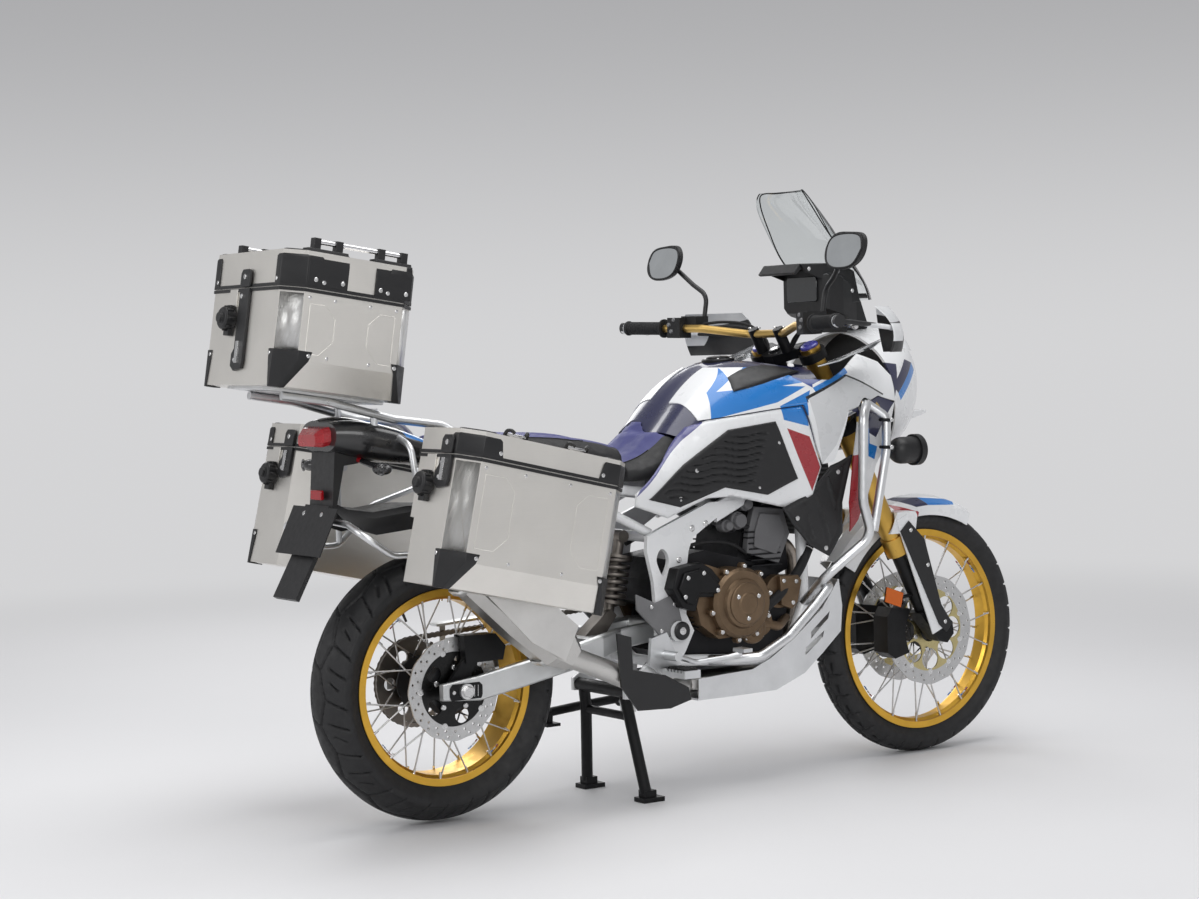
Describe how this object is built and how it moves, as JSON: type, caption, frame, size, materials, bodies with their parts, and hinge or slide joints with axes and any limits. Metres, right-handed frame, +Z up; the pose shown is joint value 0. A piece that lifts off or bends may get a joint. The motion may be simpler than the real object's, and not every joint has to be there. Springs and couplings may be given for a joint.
{
  "type": "adventure motorcycle",
  "caption": "Adventure motorcycle on its centre stand, with spoked wheels, crash bars, a tall clear screen and hard luggage cases with hinged lids.",
  "frame": {"origin": "on the floor below the middle of the whole vehicle's box", "axes": "+X forward, +Y to the rider's left, +Z up"},
  "size_m": [2.4356, 1.024, 1.572],
  "materials": {
    "tyre_rubber": "matte",
    "gold_rim": "satin",
    "hub_black": "satin",
    "disc_steel": "satin",
    "fork_gold": "satin",
    "fork_chrome": "polished",
    "black_metal": "satin",
    "bar_gold": "satin",
    "black_rubber": "matte",
    "frame_white": "gloss",
    "swingarm_silver": "satin",
    "shock_metal": "satin",
    "engine_black": "satin",
    "engine_bronze": "satin",
    "intake_grey": "matte",
    "radiator_black": "matte",
    "exhaust_steel": "satin",
    "shield_black": "satin",
    "skid_silver": "satin",
    "bar_silver": "satin",
    "tank_navy": "gloss",
    "panel_blue": "gloss",
    "panel_white": "gloss",
    "lamp_black": "gloss",
    "screen_clear": "polished",
    "dash_black": "matte",
    "seat_navy": "matte",
    "seat_black": "matte",
    "tail_black": "matte",
    "lamp_red": "gloss",
    "rack_silver": "satin",
    "case_aluminium": "brushed",
    "control_black": "satin",
    "brake_black": "satin",
    "chain_steel": "satin",
    "stand_black": "satin"
  },
  "bodies": {
    "chassis": {"main_frame": "frame_white", "subframe": "frame_white", "swingarm": "swingarm_silver", "shock_absorber": "shock_metal", "engine_block": "engine_black", "engine_covers": "engine_bronze", "throttle_bodies": "intake_grey", "radiator": "radiator_black", "exhaust_header": "exhaust_steel", "heat_shields": "shield_black", "muffler": "exhaust_steel", "skid_plate": "skid_silver", "crash_bars": "bar_silver", "fuel_tank": "tank_navy", "tank_shrouds": "panel_blue", "side_panels": "panel_white", "front_cowl": "panel_white", "front_lamps": "lamp_black", "windscreen": "screen_clear", "instruments": "dash_black", "rider_seat": "seat_navy", "passenger_seat": "seat_black", "tail_cowl": "tail_black", "rear_lamps": "lamp_red", "rear_mudguard": "tail_black", "luggage_racks": "rack_silver", "right_pannier_case": "case_aluminium", "left_pannier_case": "case_aluminium", "top_case": "case_aluminium", "foot_controls": "control_black", "rear_caliper": "brake_black", "drive_chain": "chain_steel"},
    "steering": {"triple_clamps": "black_metal", "fork_uppers": "fork_gold", "fork_lowers": "fork_chrome", "front_mudguard": "panel_white", "handlebar": "bar_gold", "hand_controls": "black_rubber", "handguards": "shield_black", "mirrors": "shield_black"},
    "front_wheel": {"front_tyre": "tyre_rubber", "front_rim": "gold_rim", "front_hub": "hub_black", "front_discs": "disc_steel"},
    "rear_wheel": {"rear_tyre": "tyre_rubber", "rear_rim": "gold_rim", "rear_hub": "hub_black", "rear_disc": "disc_steel", "rear_sprocket": "chain_steel"},
    "centre_stand": {"centre_stand": "stand_black"},
    "side_stand": {"side_stand": "stand_black"},
    "top_lid": {"top_case_lid": "case_aluminium"},
    "right_lid": {"right_pannier_lid": "case_aluminium"},
    "left_lid": {"left_pannier_lid": "case_aluminium"}
  },
  "joints": [
    {"name": "steering", "type": "hinge", "parent": "chassis", "child": "steering", "pos_m": [0.80102, 0, 0.3477], "axis": [-0.4617, 0, 0.887], "range_deg": [-40, 40]},
    {"name": "front_wheel_spin", "type": "hinge", "parent": "steering", "child": "front_wheel", "pos_m": [0.869, 0, 0.3477], "axis": [0, 1, 0], "continuous": true},
    {"name": "rear_wheel_spin", "type": "hinge", "parent": "chassis", "child": "rear_wheel", "pos_m": [-0.706, 0, 0.3386], "axis": [0, 1, 0], "continuous": true},
    {"name": "centre_stand_fold", "type": "hinge", "parent": "chassis", "child": "centre_stand", "pos_m": [-0.201, 0, 0.282], "axis": [0, 1, 0], "range_deg": [0, 88]},
    {"name": "side_stand_swing", "type": "hinge", "parent": "chassis", "child": "side_stand", "pos_m": [-0.042, 0.162, 0.222], "axis": [0, -0.9023, -0.4311], "range_deg": [0, 104]},
    {"name": "top_case_hinge", "type": "hinge", "parent": "chassis", "child": "top_lid", "pos_m": [-0.83858, 0, 1.26873], "axis": [0, 1, 0], "range_deg": [0, 90]},
    {"name": "right_pannier_hinge", "type": "hinge", "parent": "chassis", "child": "right_lid", "pos_m": [-0.45007, -0.39, 0.82662], "axis": [0, 1, 0], "range_deg": [0, 90]},
    {"name": "left_pannier_hinge", "type": "hinge", "parent": "chassis", "child": "left_lid", "pos_m": [-0.45007, 0.39, 0.82662], "axis": [0, 1, 0], "range_deg": [0, 90]}
  ]
}
